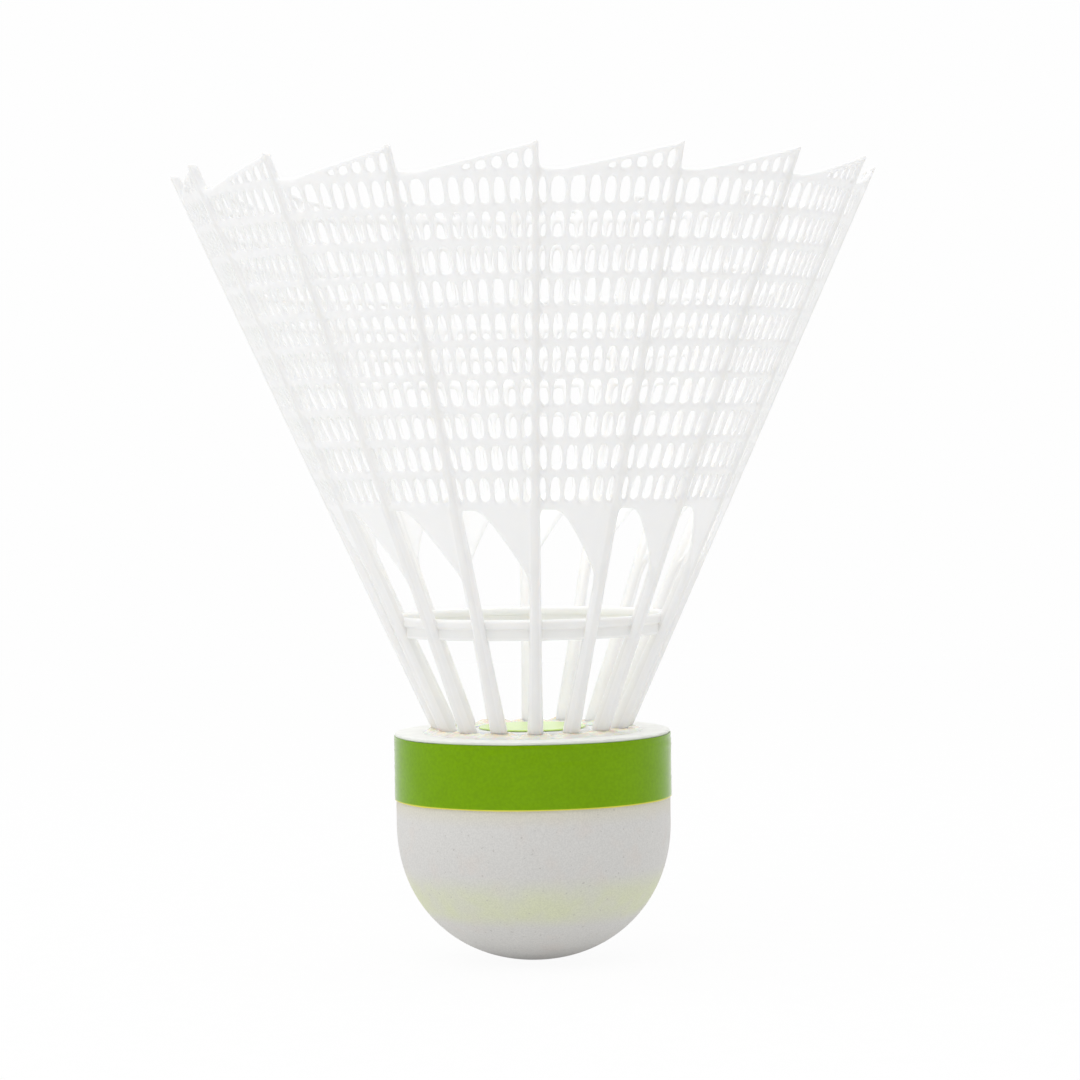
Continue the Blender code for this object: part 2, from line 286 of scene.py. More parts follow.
def thick_mesh(name, front, back, faces):
    """Closes a sheet into a solid. The faces, seen from in front, join points given on both its sides."""
    offset = len(front)
    sides = {(a, b) for face in faces for a, b in zip(face, face[1:] + face[:1])}
    rim = [(b, a, a + offset, b + offset) for a, b in sorted(sides) if (b, a) not in sides]
    behind = [[corner + offset for corner in reversed(face)] for face in faces]
    return mesh_object(name, front + back, faces + behind + rim)


def apply_modifiers(obj):
    """Makes the mesh that the object's modifiers give its own."""
    graph = bpy.context.evaluated_depsgraph_get()
    mesh = bpy.data.meshes.new_from_object(obj.evaluated_get(graph))
    obj.modifiers.clear()
    obj.data = mesh
    return obj


def shade(obj, sharp_degrees=35):
    obj.data.shade_smooth()
    obj.data.set_sharp_from_angle(angle=math.radians(sharp_degrees))
    return obj


def subdivide(obj, levels=1):
    subdivision = obj.modifiers.new("subdivision", "SUBSURF")
    subdivision.levels = levels
    subdivision.render_levels = levels
    return apply_modifiers(obj)


def join(obj, others):
    """Unites closed meshes into one and removes the others."""
    for other in others:
        union = obj.modifiers.new("union", "BOOLEAN")
        union.operation = "UNION"
        union.solver = "MANIFOLD"
        union.object = other
    apply_modifiers(obj)
    for other in others:
        bpy.data.objects.remove(other)
    return obj


def turned(name, profile, segments, closed=True):
    """Spins points (r, z) round Z. The points run down the outside and back up the inside."""
    bm = bmesh.new()
    verts = [bm.verts.new((r, 0, z)) for r, z in profile]
    for pair in zip(verts, verts[1:]):
        bm.edges.new(pair)
    if closed:
        bm.edges.new((verts[-1], verts[0]))
    mesh = bpy.data.meshes.new(name)
    bm.to_mesh(mesh)
    bm.free()
    obj = new_object(name, mesh)
    screw = obj.modifiers.new("turn", "SCREW")
    screw.steps = segments
    screw.render_steps = segments
    screw.use_merge_vertices = True
    screw.merge_threshold = MERGE_DISTANCE
    return shade(apply_modifiers(obj))


def rounded_box_profile(inner, outer, low, high, radius, steps=3):
    """Profile of a ring with rounded corners, from its outer top corner round to its inner top corner."""
    corners = (
        (outer - radius, high - radius, 90),
        (outer - radius, low + radius, 0),
        (inner + radius, low + radius, -90),
        (inner + radius, high - radius, -180),
    )
    points = []
    for r, z, start in corners:
        for step in range(steps + 1):
            angle = math.radians(start - 90 * step / steps)
            points.append((r + radius * math.cos(angle), z + radius * math.sin(angle)))
    return points


def table_at(table, height):
    """Reads a table of (height, size) in millimetres, straight between its rows and held at its ends."""
    z = height / MM
    if z <= table[0][0]:
        return table[0][1] * MM
    for (low, first), (high, second) in zip(table, table[1:]):
        if z <= high:
            return (first + (second - first) * (z - low) / (high - low)) * MM
    return table[-1][1] * MM


def polar(radius, angle, height):
    return (radius * math.sin(angle), -radius * math.cos(angle), height)


# ---------------------------------------------------------------- skirt


def stem_radius(height):
    """Radius of the cone on which the stems' outer faces lie."""
    return ROOT_RADIUS + CONE_SLOPE * (height - BASE_TOP)


def in_cells(length, height):
    """A length along the cone's circle at a height, as a share of a cell."""
    return length / (math.tau / STEMS * stem_radius(height))


def hoop_edges(index):
    """The lower and upper edge of a hoop."""
    middle = LOWEST_HOOP + index * HOOP_PITCH
    height = {0: LOWEST_HOOP_HEIGHT, HOOPS - 1: TOP_HOOP_HEIGHT}.get(index, HOOP_HEIGHT)
    return middle - height / 2, middle + height / 2


def level_of(height):
    """A whole number that stands for a height, so that equal heights can be found."""
    return round(height / MM * HEIGHT_STEPS)


def turn_between(first, second):
    """How far round the skirt the second place is from the first, by the shorter way."""
    return (second - first + STEMS / 2) % STEMS - STEMS / 2


class Sheet:
    """A sheet bent round the skirt's cone and drawn face by face as seen from outside. Each point has
    an outer and an inner depth, so that the sheet becomes one closed solid."""

    def __init__(self):
        self.points = []
        self.known = {}
        self.faces = []
        self.creases = {}

    def point(self, place, height, depths):
        """The number of the point here, made when it is first asked for."""
        key = (round(place % STEMS * PLACE_STEPS) % round(STEMS * PLACE_STEPS), level_of(height))
        if key not in self.known:
            self.known[key] = len(self.points)
            self.points.append((place, height, depths))
        return self.known[key]

    def strip(self, lower, upper):
        """Faces between two rows of points. Where neighbouring points are one, the face has fewer corners."""
        for corners in zip(lower, lower[1:], upper[1:], upper):
            distinct = [c for i, c in enumerate(corners) if c != corners[i - 1]]
            if len(distinct) > 2:
                self.faces.append(distinct)

    def stitched(self):
        """The faces, with their level edges led through every point that lies on them."""
        levels = {}
        for index, (place, height, _) in enumerate(self.points):
            levels.setdefault(level_of(height), []).append((place, index))

        def between(start, end):
            place, height, _ = self.points[start]
            end_place, end_height, _ = self.points[end]
            if level_of(end_height) != level_of(height):
                return []
            reach = turn_between(place, end_place)
            found = []
            for other, index in levels[level_of(height)]:
                share = turn_between(place, other) / reach
                if index not in (start, end) and 0 < share < 1:
                    found.append((share, index))
            return [index for _, index in sorted(found)]

        faces = []
        for face in self.faces:
            corners = []
            for start, end in zip(face, face[1:] + face[:1]):
                corners += [start, *between(start, end)]
            faces.append(corners)
        return faces

    def place_in_space(self, place, height, depth):
        radius = stem_radius(height) - depth * math.cos(LEAN)
        raised = min(height + depth * math.sin(LEAN), RIM_TOP)
        return polar(radius, place * math.tau / STEMS, raised)

    def solid(self, name):
        """The sheet as a closed mesh, with its creases marked for subdivision."""
        front = [self.place_in_space(p, h, depths[0]) for p, h, depths in self.points]
        back = [self.place_in_space(p, h, depths[1]) for p, h, depths in self.points]
        obj = thick_mesh(name, front, back, self.stitched())
        sharpness = obj.data.attributes.new("crease_vert", "FLOAT", "POINT")
        for index, crease in self.creases.items():
            for side in (0, len(front)):
                sharpness.data[index + side].value = crease
        return obj


def stem_point(sheet, stem, side, height, taper=1.0):
    """A point on a stem at a height. Side is -1 for its left edge, 0 for its middle and 1 for its right."""
    width = table_at(STEM_WIDTHS, height) * taper
    depth = table_at(STEM_DEPTHS, height) * taper
    front = abs(side) * STEM_FRONT_ROUND * width
    back = depth - abs(side) * STEM_BACK_ROUND * width
    return sheet.point(stem + side * in_cells(width / 2, height), height, (front, back))


def bar_edges(bars, width, height):
    """Places of the left and right edges of a row of bars."""
    half = in_cells(width / 2, height)
    return [bar + side * half for bar in bars for side in (-1, 1)]


def web_places(height):
    """Places across a cell of the web's columns at a height."""
    share = (height - WEB_FOOT) / (hoop_edges(0)[0] - WEB_FOOT)
    right = 1 - in_cells(table_at(STEM_WIDTHS, height) / 2, height)
    left = right + (WEB_START - right) * share
    return [left + (right - left) * column for column in WEB_COLUMNS]


def tooth_places():
    """Places across a cell of the tooth's columns: its solid part, then the edges of its bars."""
    return list(TOOTH_SOLID) + bar_edges(TOOTH_BARS, TOOTH_BAR_WIDTH, hoop_edges(HOOPS - 1)[1])


def tooth_rise(place):
    """Height of the rim above the top hoop."""
    share = (place - TOOTH_SOLID[0]) / (1 - TOOTH_SOLID[0])
    return TOOTH_RISE * max(0.0, share) ** TOOTH_CURVE


def tooth_window_rise(place):
    """Height above the top hoop of the tops of the tooth's windows, carried on through its solid part."""
    first_window = tooth_rise(TOOTH_SOLID[-1])
    if place < TOOTH_SOLID[-1]:
        return tooth_rise(place) * (1 - TOOTH_EDGE / first_window)
    return tooth_rise(place) - TOOTH_EDGE


def hoop_columns(index):
    """Columns of a hoop as (place on its lower edge, place on its upper edge). Edges of the bars below
    and above it that nearly meet share a column."""
    low, high = hoop_edges(index)
    below = web_places(low) if index == 0 else bar_edges(BAR_ROWS[index - 1], BAR_SHAPE[-1][1] * MM, low)
    above = tooth_places() if index == HOOPS - 1 else bar_edges(BAR_ROWS[index], BAR_SHAPE[0][1] * MM, high)
    edges = sorted([(place, "below") for place in below] + [(place, "above") for place in above])
    columns = []
    waiting = None
    for place, row in edges:
        if waiting and waiting[1] != row and place - waiting[0] < MERGE_PLACES:
            pair = {waiting[1]: waiting[0], row: place}
            columns[-1] = (pair["below"], pair["above"])
            waiting = None
        else:
            columns.append((place, place))
            waiting = (place, row)
    return columns


def add_stems(sheet):
    """Stems, with a level wherever a web, a hoop or a tooth joins them."""
    gap = (WEB_FOOT - STEM_LOWEST) / STEM_BREAKS
    levels = [STEM_LOWEST + gap * step for step in range(STEM_BREAKS)]
    web_step = (hoop_edges(0)[0] - WEB_FOOT) / WEB_ROWS
    levels += [WEB_FOOT + web_step * row for row in range(WEB_ROWS)]
    for index in range(HOOPS):
        levels += hoop_edges(index)
    hoop_top = hoop_edges(HOOPS - 1)[1]
    levels += [hoop_top + tooth_window_rise(1), hoop_top + tooth_rise(1)]
    for stem in range(STEMS):
        rows = [[stem_point(sheet, stem, side, height) for side in (-1, 0, 1)] for height in levels]
        rows.append([stem_point(sheet, stem, side, RIM_TOP, TIP_TAPER) for side in (-1, 0, 1)])
        for lower, upper in zip(rows, rows[1:]):
            sheet.strip(lower, upper)


def add_hoops(sheet):
    for index in range(HOOPS):
        columns = hoop_columns(index)
        for cell in range(STEMS):
            rows = []
            for edge, height in enumerate(hoop_edges(index)):
                row = [stem_point(sheet, cell, 1, height)]
                row += [sheet.point(cell + column[edge], height, NET_DEPTHS) for column in columns]
                rows.append(row + [stem_point(sheet, cell + 1, -1, height)])
            sheet.strip(*rows)


def add_bars(sheet):
    """Rows of upright bars, which widen upwards and keep sharp corners where they meet the hoops."""
    for index, bars in enumerate(BAR_ROWS):
        foot = hoop_edges(index)[1]
        head = hoop_edges(index + 1)[0]
        for cell in range(STEMS):
            for bar in bars:
                rows = []
                for (share, width), crease in zip(BAR_SHAPE, BAR_CREASES):
                    height = foot + (head - foot) * share
                    places = bar_edges([bar], width * MM, height)
                    rows.append([sheet.point(cell + place, height, BAR_DEPTHS) for place in places])
                    sheet.creases.update({point: crease for point in rows[-1]})
                for lower, upper in zip(rows, rows[1:]):
                    sheet.strip(lower, upper)


def add_webs(sheet):
    """Triangles that widen from a stem's left side up to the lowest hoop."""
    top = hoop_edges(0)[0]
    for cell in range(STEMS):
        rows = []
        for step in range(WEB_ROWS + 1):
            height = WEB_FOOT + (top - WEB_FOOT) * step / WEB_ROWS
            row = [sheet.point(cell + place, height, WEB_DEPTHS) for place in web_places(height)]
            rows.append(row + [stem_point(sheet, cell + 1, -1, height)])
        for lower, upper in zip(rows, rows[1:]):
            sheet.strip(lower, upper)


def add_teeth(sheet):
    """The sawtooth rim above the top hoop: solid at its low end, then windows between bars."""
    base = hoop_edges(HOOPS - 1)[1]
    places = tooth_places()
    solid = len(TOOTH_SOLID)
    for cell in range(STEMS):
        rows = []
        for rise in (lambda place: 0.0, tooth_window_rise, tooth_rise):
            row = [sheet.point(cell + place, base + rise(place), NET_DEPTHS) for place in places]
            rows.append(row + [stem_point(sheet, cell + 1, -1, base + rise(1))])
        low, window_top, edge = rows
        sheet.strip(window_top, edge)
        sheet.strip(low[:solid], window_top[:solid])
        for left in range(solid, len(places), 2):
            sheet.strip(low[left : left + 2], window_top[left : left + 2])


def make_ring():
    """The ring that ties the stems together below the webs: a rib, and a thinner flange under it."""
    outer = stem_radius(RING_HEIGHT) - RING_SETBACK
    rib = rounded_box_profile(outer - RIB_DEPTH, outer, RIB_LOW, RIB_HIGH, RIB_ROUND)
    outer -= FLANGE_SETBACK
    inside_rib = RIB_HIGH - RIB_ROUND
    flange = rounded_box_profile(outer - FLANGE_DEPTH, outer, FLANGE_LOW, inside_rib, FLANGE_ROUND, steps=1)
    return join(turned("root_ring", rib, RING_STEPS), [turned("root_flange", flange, RING_STEPS)])


def make_hub():
    """The disc that the stems stand on, with its boss above and its hollow plug below."""
    top = BASE_TOP - HUB_GAP
    low = top - HUB_THICKNESS
    boss_top = LABEL_LOW - HUB_GAP
    profile = [
        (0, boss_top),
        (BOSS_RADIUS - HUB_EDGE, boss_top),
        (BOSS_RADIUS, boss_top - HUB_EDGE),
        (BOSS_RADIUS, top),
        (HUB_RADIUS - HUB_EDGE, top),
        (HUB_RADIUS, top - HUB_EDGE),
        (HUB_RADIUS, low),
        (PLUG_RADIUS, low),
        (PLUG_RADIUS, PLUG_END + PLUG_WALL / 2),
        (PLUG_RADIUS - PLUG_WALL / 2, PLUG_END),
        (PLUG_RADIUS - PLUG_WALL, PLUG_END),
        (PLUG_RADIUS - PLUG_WALL, low),
        (0, low),
    ]
    return turned("hub", profile, HUB_STEPS, closed=False)


def make_skirt():
    sheet = Sheet()
    add_stems(sheet)
    add_hoops(sheet)
    add_bars(sheet)
    add_webs(sheet)
    add_teeth(sheet)
    skirt = subdivide(sheet.solid("nylon_skirt"))
    join(skirt, [make_ring(), make_hub()])
    return shade(skirt, sharp_degrees=60)


# ---------------------------------------------------------------- base


def dome(radius):
    """Points (r, z) down the outside of the base's dome, from its widest circle to its lowest point."""
    power = 2 / DOME_FULLNESS
    points = []
    for step in range(DOME_STEPS):
        angle = math.pi / 2 * step / DOME_STEPS
        reach = radius * math.cos(angle) ** power
        points.append((reach, BASE_RADIUS - radius * math.sin(angle) ** power))
    return points + [(0, BASE_RADIUS - radius)]


def make_cover():
    """The white skin: a cup with a rounded upper edge."""
    inner = BASE_RADIUS - COVER_THICKNESS
    lip = COVER_THICKNESS / 2
    shoulder = COVER_TOP - lip
    edge = []
    for step in range(LIP_STEPS + 1):
        angle = math.pi * step / LIP_STEPS
        edge.append((inner + lip - lip * math.cos(angle), shoulder + lip * math.sin(angle)))
    drop = (shoulder - BASE_RADIUS) / SIDE_STEPS
    sides = [shoulder - drop * step for step in range(1, SIDE_STEPS)]
    inside = [(inner, z) for z in sides] + dome(inner)
    outside = [(BASE_RADIUS, z) for z in sides] + dome(BASE_RADIUS)
    return turned("cover", inside[::-1] + edge + outside, SPIN_STEPS, closed=False)


def swept(name, profile_at, steps):
    """A closed ring. Its profile, points (r, z) that run down the outside, is a function of the angle."""
    profiles = [profile_at(math.tau * step / steps) for step in range(steps)]
    points = [polar(r, math.tau * step / steps, z) for step in range(steps) for r, z in profiles[step]]
    size = len(profiles[0])
    faces = []
    for step in range(steps):
        here = step * size
        there = (step + 1) % steps * size
        for i in range(size):
            j = (i + 1) % size
            faces.append((here + i, here + j, there + j, there + i))
    return mesh_object(name, points, faces)


def wander(radius, angle, size, seed):
    """Smooth noise between about -1 and 1 over the disc, with features of this size."""
    x, y, _ = polar(radius, angle, 0)
    return noise.noise(Vector((x / size, y / size, seed * NOISE_APART)))


def make_facing():
    """The white washer on top of the cork, a little uneven along its outer edge."""

    def profile_at(angle):
        outer = BASE_RADIUS + FACING_WAVER * wander(BASE_RADIUS, angle, FACING_EDGE_WAVES, FACING_EDGE_SEED)
        top = BASE_TOP + FACING_WAVER * wander(BASE_RADIUS, angle, FACING_TOP_WAVES, FACING_TOP_SEED)
        return rounded_box_profile(SEAT_RADIUS, outer, FACING_LOW, top, LIP_ROUND)

    return shade(swept("facing", profile_at, FACING_STEPS), sharp_degrees=60)


def crease(angle, below_top):
    """Height of a faint crease that slants across the upper right of the tape."""
    share = (angle - CREASE_START[0]) / (CREASE_END[0] - CREASE_START[0])
    if not 0 < share < 1:
        return 0.0
    middle = CREASE_START[1] + (CREASE_END[1] - CREASE_START[1]) * share
    fade = math.sin(math.pi * share)
    return CREASE_HEIGHT * fade * math.exp(-(((below_top - middle) / CREASE_WIDTH) ** 2))


def make_tape():
    """Coloured tape wound once round the base, with its outer end lapped over its inner end."""
    lap = TAPE_LAP / BASE_RADIUS
    lift = TAPE_THICKNESS + TAPE_GAP
    front, back, faces = [], [], []
    tall = BAND_HIGH + TAPE_RISE - BAND_LOW
    for row in range(TAPE_ROWS + 1):
        share = 1 - (1 - row / TAPE_ROWS) ** 2  # the rows are closest together near the top
        for column in range(TAPE_STEPS + 1):
            wound = (math.tau + lap) * column / TAPE_STEPS
            angle = TAPE_END_ANGLE - lap + wound - math.tau
            raised = lift * min(1.0, max(0.0, (wound - math.tau + lap) / lap))
            stray = TAPE_WAVER * wander(BASE_RADIUS, angle, TAPE_EDGE_WAVES, TAPE_EDGE_SEED)
            height = BAND_LOW + tall * share + stray
            seed = TAPE_FACE_SEED + height / TAPE_WAVE_HEIGHT
            radius = BASE_RADIUS + TAPE_GAP + raised
            radius += TAPE_GAP * wander(BASE_RADIUS, angle, TAPE_FACE_WAVES, seed)
            below_top = tall * (1 - share)
            front.append(polar(radius + TAPE_THICKNESS + crease(angle, below_top), angle, height))
            back.append(polar(radius, angle, height))
    for row in range(TAPE_ROWS):
        low = row * (TAPE_STEPS + 1)
        high = low + TAPE_STEPS + 1
        faces += [[low + i, low + i + 1, high + i + 1, high + i] for i in range(TAPE_STEPS)]
    return shade(thick_mesh("tape", front, back, faces), sharp_degrees=50)


def make_glue():
    """Glue on top of the hub: a thin film that heaps up round each stem's foot and runs out in lumps."""
    draw = random.Random(GLUE_SEED)
    heaps = [(draw.uniform(*GLUE_HEAP_SHARES), draw.uniform(*GLUE_HEAP_SPREADS) * MM) for _ in range(STEMS)]
    cell = math.tau / STEMS
    outer_face = stem_radius(BASE_TOP)
    inner_face = outer_face - table_at(STEM_DEPTHS, BASE_TOP)
    half_width = table_at(STEM_WIDTHS, BASE_TOP) / 2

    def heap_at(radius, angle):
        stem = round(angle / cell)
        across = max(0.0, abs(angle - stem * cell) * radius - half_width)
        along = max(0.0, radius - outer_face, inner_face - radius)
        size, spread = heaps[stem % STEMS]
        return size * math.exp(-((math.hypot(across, along) / spread) ** 2))

    def lumps_at(radius, angle):
        lumps = wander(radius, angle, GLUE_LUMP_WAVES, GLUE_LUMP_SEED)
        return lumps + GLUE_GRAIN_SHARE * wander(radius, angle, GLUE_GRAIN_WAVES, GLUE_GRAIN_SEED)

    def profile_at(angle):
        from_lumpy_side = (angle - GLUE_LUMPY_SIDE) / GLUE_LUMPY_WIDTH
        rough = GLUE_ROUGH[0] + GLUE_ROUGH[1] * math.exp(-(from_lumpy_side**2))
        waver = 0.5 + 0.5 * wander(BEAD_RADIUS, angle, GLUE_SHY_WAVES, GLUE_EDGE_SEED)
        reach = BEAD_RADIUS - GLUE_SHY * waver
        inner_slope, outer_slope, roundness = GLUE_SLOPES
        top = []
        for ring in range(GLUE_RINGS + 1):
            share = ring / GLUE_RINGS
            radius = GLUE_INNER + (reach - GLUE_INNER) * share
            edge = min(1.0, inner_slope * share, outer_slope * (1 - share))
            lumps = lumps_at(radius, angle)
            heap = heap_at(radius, angle)
            height = GLUE_FILM + GLUE_HEAP * heap * (1 + rough * lumps)
            height += GLUE_LUMP * rough * max(0.0, lumps) * heap**GLUE_LUMP_FADE
            top.append((radius, BASE_TOP + (height - GLUE_DIP) * edge**roundness))
        foot = [(reach, GLUE_FOOT), (GLUE_INNER, GLUE_FOOT)]
        return top[::-1][:1] + foot + top[:-1]

    return shade(swept("glue", profile_at, GLUE_STEPS), sharp_degrees=80)


def make_label():
    """The round label on the hub's boss, with a rounded edge."""
    edge = (LABEL_HIGH - LABEL_LOW) / 2
    middle = LABEL_LOW + edge
    points = [(LABEL_RADIUS * ring / LABEL_RINGS, LABEL_HIGH) for ring in range(LABEL_RINGS)]
    for step in range(LIP_STEPS + 1):
        angle = math.pi / 2 - math.pi * step / LIP_STEPS
        points.append((LABEL_RADIUS - edge + edge * math.cos(angle), middle + edge * math.sin(angle)))
    points += [(LABEL_RADIUS * ring / LABEL_RINGS, LABEL_LOW) for ring in reversed(range(LABEL_RINGS))]
    return turned("label", points, SPIN_STEPS, closed=False)


# ---------------------------------------------------------------- materials


class Paint:
    """A Principled material and the nodes that vary it. Its patterns are measured in millimetres.

    A setting is named for its input, with _ for a space. A colour may leave out its alpha."""

    def __init__(self, name, **settings):
        self.material = bpy.data.materials.new(name)
        self.material.use_nodes = True
        self.tree = self.material.node_tree
        self.shader = self.tree.nodes["Principled BSDF"]
        place = self.node("ShaderNodeTexCoord").outputs["Object"]
        self.place = self.node("ShaderNodeVectorMath", {0: place, 3: 1 / MM}, operation="SCALE").outputs[0]
        self.height = self.node("ShaderNodeSeparateXYZ", {0: self.place}).outputs["Z"]
        self.set(self.shader, settings)

    def node(self, kind, inputs=None, **properties):
        made = self.tree.nodes.new(kind)
        for name, value in properties.items():
            setattr(made, name, value)
        self.set(made, inputs or {})
        return made

    def set(self, node, inputs):
        for name, value in inputs.items():
            socket = node.inputs[name.replace("_", " ") if isinstance(name, str) else name]
            if isinstance(value, bpy.types.NodeSocket):
                self.tree.links.new(value, socket)
            elif isinstance(value, tuple) and len(value) < len(socket.default_value):
                socket.default_value = (*value, 1)
            else:
                socket.default_value = value

    def noise(self, size, detail=3.0):
        """Noise between 0 and 1 whose features are about this many millimetres across."""
        inputs = {"Vector": self.place, "Scale": 1 / size, "Detail": detail}
        return self.node("ShaderNodeTexNoise", inputs).outputs["Fac"]

    def spread(self, value, low, high, first=0.0, last=1.0):
        """Carries a value from low..high to first..last, with soft ends."""
        inputs = {"Value": value, "From Min": low, "From Max": high, "To Min": first, "To Max": last}
        return self.node("ShaderNodeMapRange", inputs, interpolation_type="SMOOTHSTEP").outputs[0]

    def varied(self, size, first, last):
        """Noise of this size, carried to first..last."""
        return self.spread(self.noise(size), *NOISE_RANGE, first, last)

    def times(self, first, second):
        return self.node("ShaderNodeMath", {0: first, 1: second}, operation="MULTIPLY").outputs[0]

    def blend(self, share, first, second):
        inputs = {0: share, 6: first, 7: second}
        return self.node("ShaderNodeMix", inputs, data_type="RGBA").outputs[2]

    def scaled(self, colour, factor):
        return self.node("ShaderNodeVectorMath", {0: colour, 3: factor}, operation="SCALE").outputs[0]

    def shaded(self, colour, pattern, low, high):
        """The colour made darker or lighter, from low to high times as bright, by a noise."""
        return self.scaled(colour, self.spread(pattern, *NOISE_RANGE, low, high))

    def bump(self, height, depth, strength=1.0):
        """Relief whose height, from 0 to 1, stands for this many millimetres."""
        inputs = {"Height": height, "Distance": depth * MM, "Strength": strength}
        self.set(self.shader, {"Normal": self.node("ShaderNodeBump", inputs).outputs[0]})


def nylon_material():
    """Satin white moulded nylon that lets some light through, with faint flow marks. Where it stands out from
    the thin net
    it is painted a little greyer: painted shade for the light that passes through the thin net and less
    through the thick stems and ring."""
    paint = Paint("satin_nylon", Subsurface_Weight=1.0, Subsurface_Scale=NYLON_DEPTH, IOR=1.5)
    cone = {0: paint.height, 1: CONE_SLOPE, 2: stem_radius(0) / MM}
    cone = paint.node("ShaderNodeMath", cone, operation="MULTIPLY_ADD").outputs[0]
    flat = paint.node("ShaderNodeVectorMath", {0: paint.place, 1: (1.0, 1.0, 0.0)}, operation="MULTIPLY")
    radius = paint.node("ShaderNodeVectorMath", {0: flat.outputs[0]}, operation="LENGTH").outputs["Value"]
    depth = paint.node("ShaderNodeMath", {0: cone, 1: radius}, operation="SUBTRACT").outputs[0]
    # painted shade: the thick stems and ring get a darker colour than the thin net, for the light that passes
    # less through them
    thin = paint.times(paint.spread(depth, *NET_STARTS), paint.spread(depth, *NET_ENDS, 1.0, 0.0))
    colour = paint.shaded(NYLON, paint.noise(5.0), 0.975, 1.01)
    paint.set(paint.shader, {
        "Base Color": paint.scaled(colour, paint.spread(thin, 0.0, 1.0, NYLON_THICK_SHADE, 1.0)),
        "Subsurface Radius": (1.0, 0.96, 0.90),
        "Roughness": paint.varied(1.2, 0.36, 0.50),
    })
    paint.bump(paint.noise(0.5), depth=0.012, strength=0.6)
    return paint.material


def cover_material():
    """White leather-like skin: fine grain, sparse dark specks, warm patches, a faint green ring and a
    yellowed edge under the tape."""
    paint = Paint("grained_cover")
    colour = paint.blend(paint.spread(paint.noise(2.6), 0.5, 0.75, 0.0, 0.5), COVER, COVER_WARM)
    above = paint.spread(paint.height, *GREEN_STARTS)
    below = paint.spread(paint.height, *GREEN_ENDS, 1.0, 0.0)
    patchy = paint.spread(paint.noise(3.5), 0.3, 0.62, 0.55, 1.0)
    colour = paint.blend(paint.times(paint.times(above, below), patchy), colour, COVER_GREEN)
    low = BAND_LOW / MM
    stain = paint.spread(paint.height, low - STAIN_REACH, low, 0.0, STAIN_SHARE)
    colour = paint.blend(stain, colour, COVER_STAIN)
    colour = paint.shaded(colour, paint.noise(0.16, detail=2.0), 0.95, 1.045)
    speck = paint.spread(paint.noise(0.32, detail=1.0), 0.70, 0.76)
    colour = paint.blend(paint.times(speck, SPECK_SHARE), colour, COVER_SPECK)
    paint.set(paint.shader, {
        "Base Color": colour,
        "Roughness": paint.varied(0.8, 0.62, 0.80),
        "Specular IOR Level": 0.35,
    })
    paint.bump(paint.noise(0.22), depth=0.045, strength=0.5)
    return paint.material


def facing_material():
    """Smooth off-white sheet with a trace of green."""
    paint = Paint("facing_sheet", Roughness=0.55, Specular_IOR_Level=0.35)
    colour = paint.shaded(FACING, paint.noise(1.4), 0.96, 1.02)
    paint.set(paint.shader, {"Base Color": colour})
    paint.bump(paint.noise(0.3), depth=0.03, strength=0.5)
    return paint.material


def tape_material():
    """Glossy green tape with a fine texture and a bare yellow line along its lower edge."""
    paint = Paint("green_tape", Specular_IOR_Level=TAPE_GLOSS, Sheen_Weight=TAPE_SHEEN, Sheen_Roughness=0.3)
    colour = paint.shaded(TAPE, paint.noise(0.3, detail=2.0), 0.94, 1.06)
    colour = paint.shaded(colour, paint.noise(4.0), 0.98, 1.02)
    bare_low, bare_high = (BAND_LOW / MM + end for end in TAPE_EDGE_ENDS)
    edge = paint.spread(paint.height, bare_low, bare_high, 1.0, 0.0)
    paint.set(paint.shader, {
        "Base Color": paint.blend(edge, colour, TAPE_EDGE),
        "Roughness": paint.varied(1.5, 0.13, 0.20),
    })
    paint.bump(paint.noise(0.4), depth=0.015, strength=0.5)
    return paint.material


def glue_material():
    """Hardened amber glue, paler where it is thin."""
    paint = Paint("amber_glue", Subsurface_Weight=1.0, Subsurface_Scale=0.4 * MM, Roughness=0.22)
    thin, thick = (BASE_TOP / MM + height for height in GLUE_DEEPENS)
    amber = paint.spread(paint.height, thin, thick)
    amber = paint.times(amber, paint.spread(paint.noise(0.9), 0.3, 0.6, 0.5, 1.0))
    colour = paint.blend(amber, GLUE_PALE, GLUE)
    paint.set(paint.shader, {"Base Color": colour, "Subsurface Radius": (1.0, 0.7, 0.4)})
    paint.bump(paint.noise(0.35), depth=0.05, strength=0.6)
    return paint.material


def label_material():
    """Bright yellow-green printed paper with a satin film."""
    paint = Paint("label_sheet", Roughness=0.32, Coat_Weight=0.5, Coat_Roughness=0.2)
    paint.set(paint.shader, {"Base Color": paint.shaded(LABEL, paint.noise(0.9), 0.95, 1.03)})
    paint.bump(paint.noise(1.2), depth=0.03, strength=0.6)
    return paint.material


def cork_material():
    """Pressed cork: brown granules with darker gaps between them."""
    paint = Paint("pressed_cork", Roughness=0.85)
    cells = paint.node("ShaderNodeTexVoronoi", {"Vector": paint.place, "Scale": 0.8})
    grain = paint.node("ShaderNodeSeparateColor", {0: cells.outputs["Color"]}).outputs[0]
    colour = paint.blend(grain, CORK[0], CORK[1])
    colour = paint.shaded(colour, paint.noise(0.5), 0.85, 1.1)
    gaps = paint.spread(cells.outputs["Distance"], 0.35, 0.75)
    paint.set(paint.shader, {"Base Color": paint.blend(paint.times(gaps, 0.5), colour, CORK[0])})
    paint.bump(paint.noise(0.4), depth=0.08, strength=0.6)
    return paint.material


# ---------------------------------------------------------------- studio


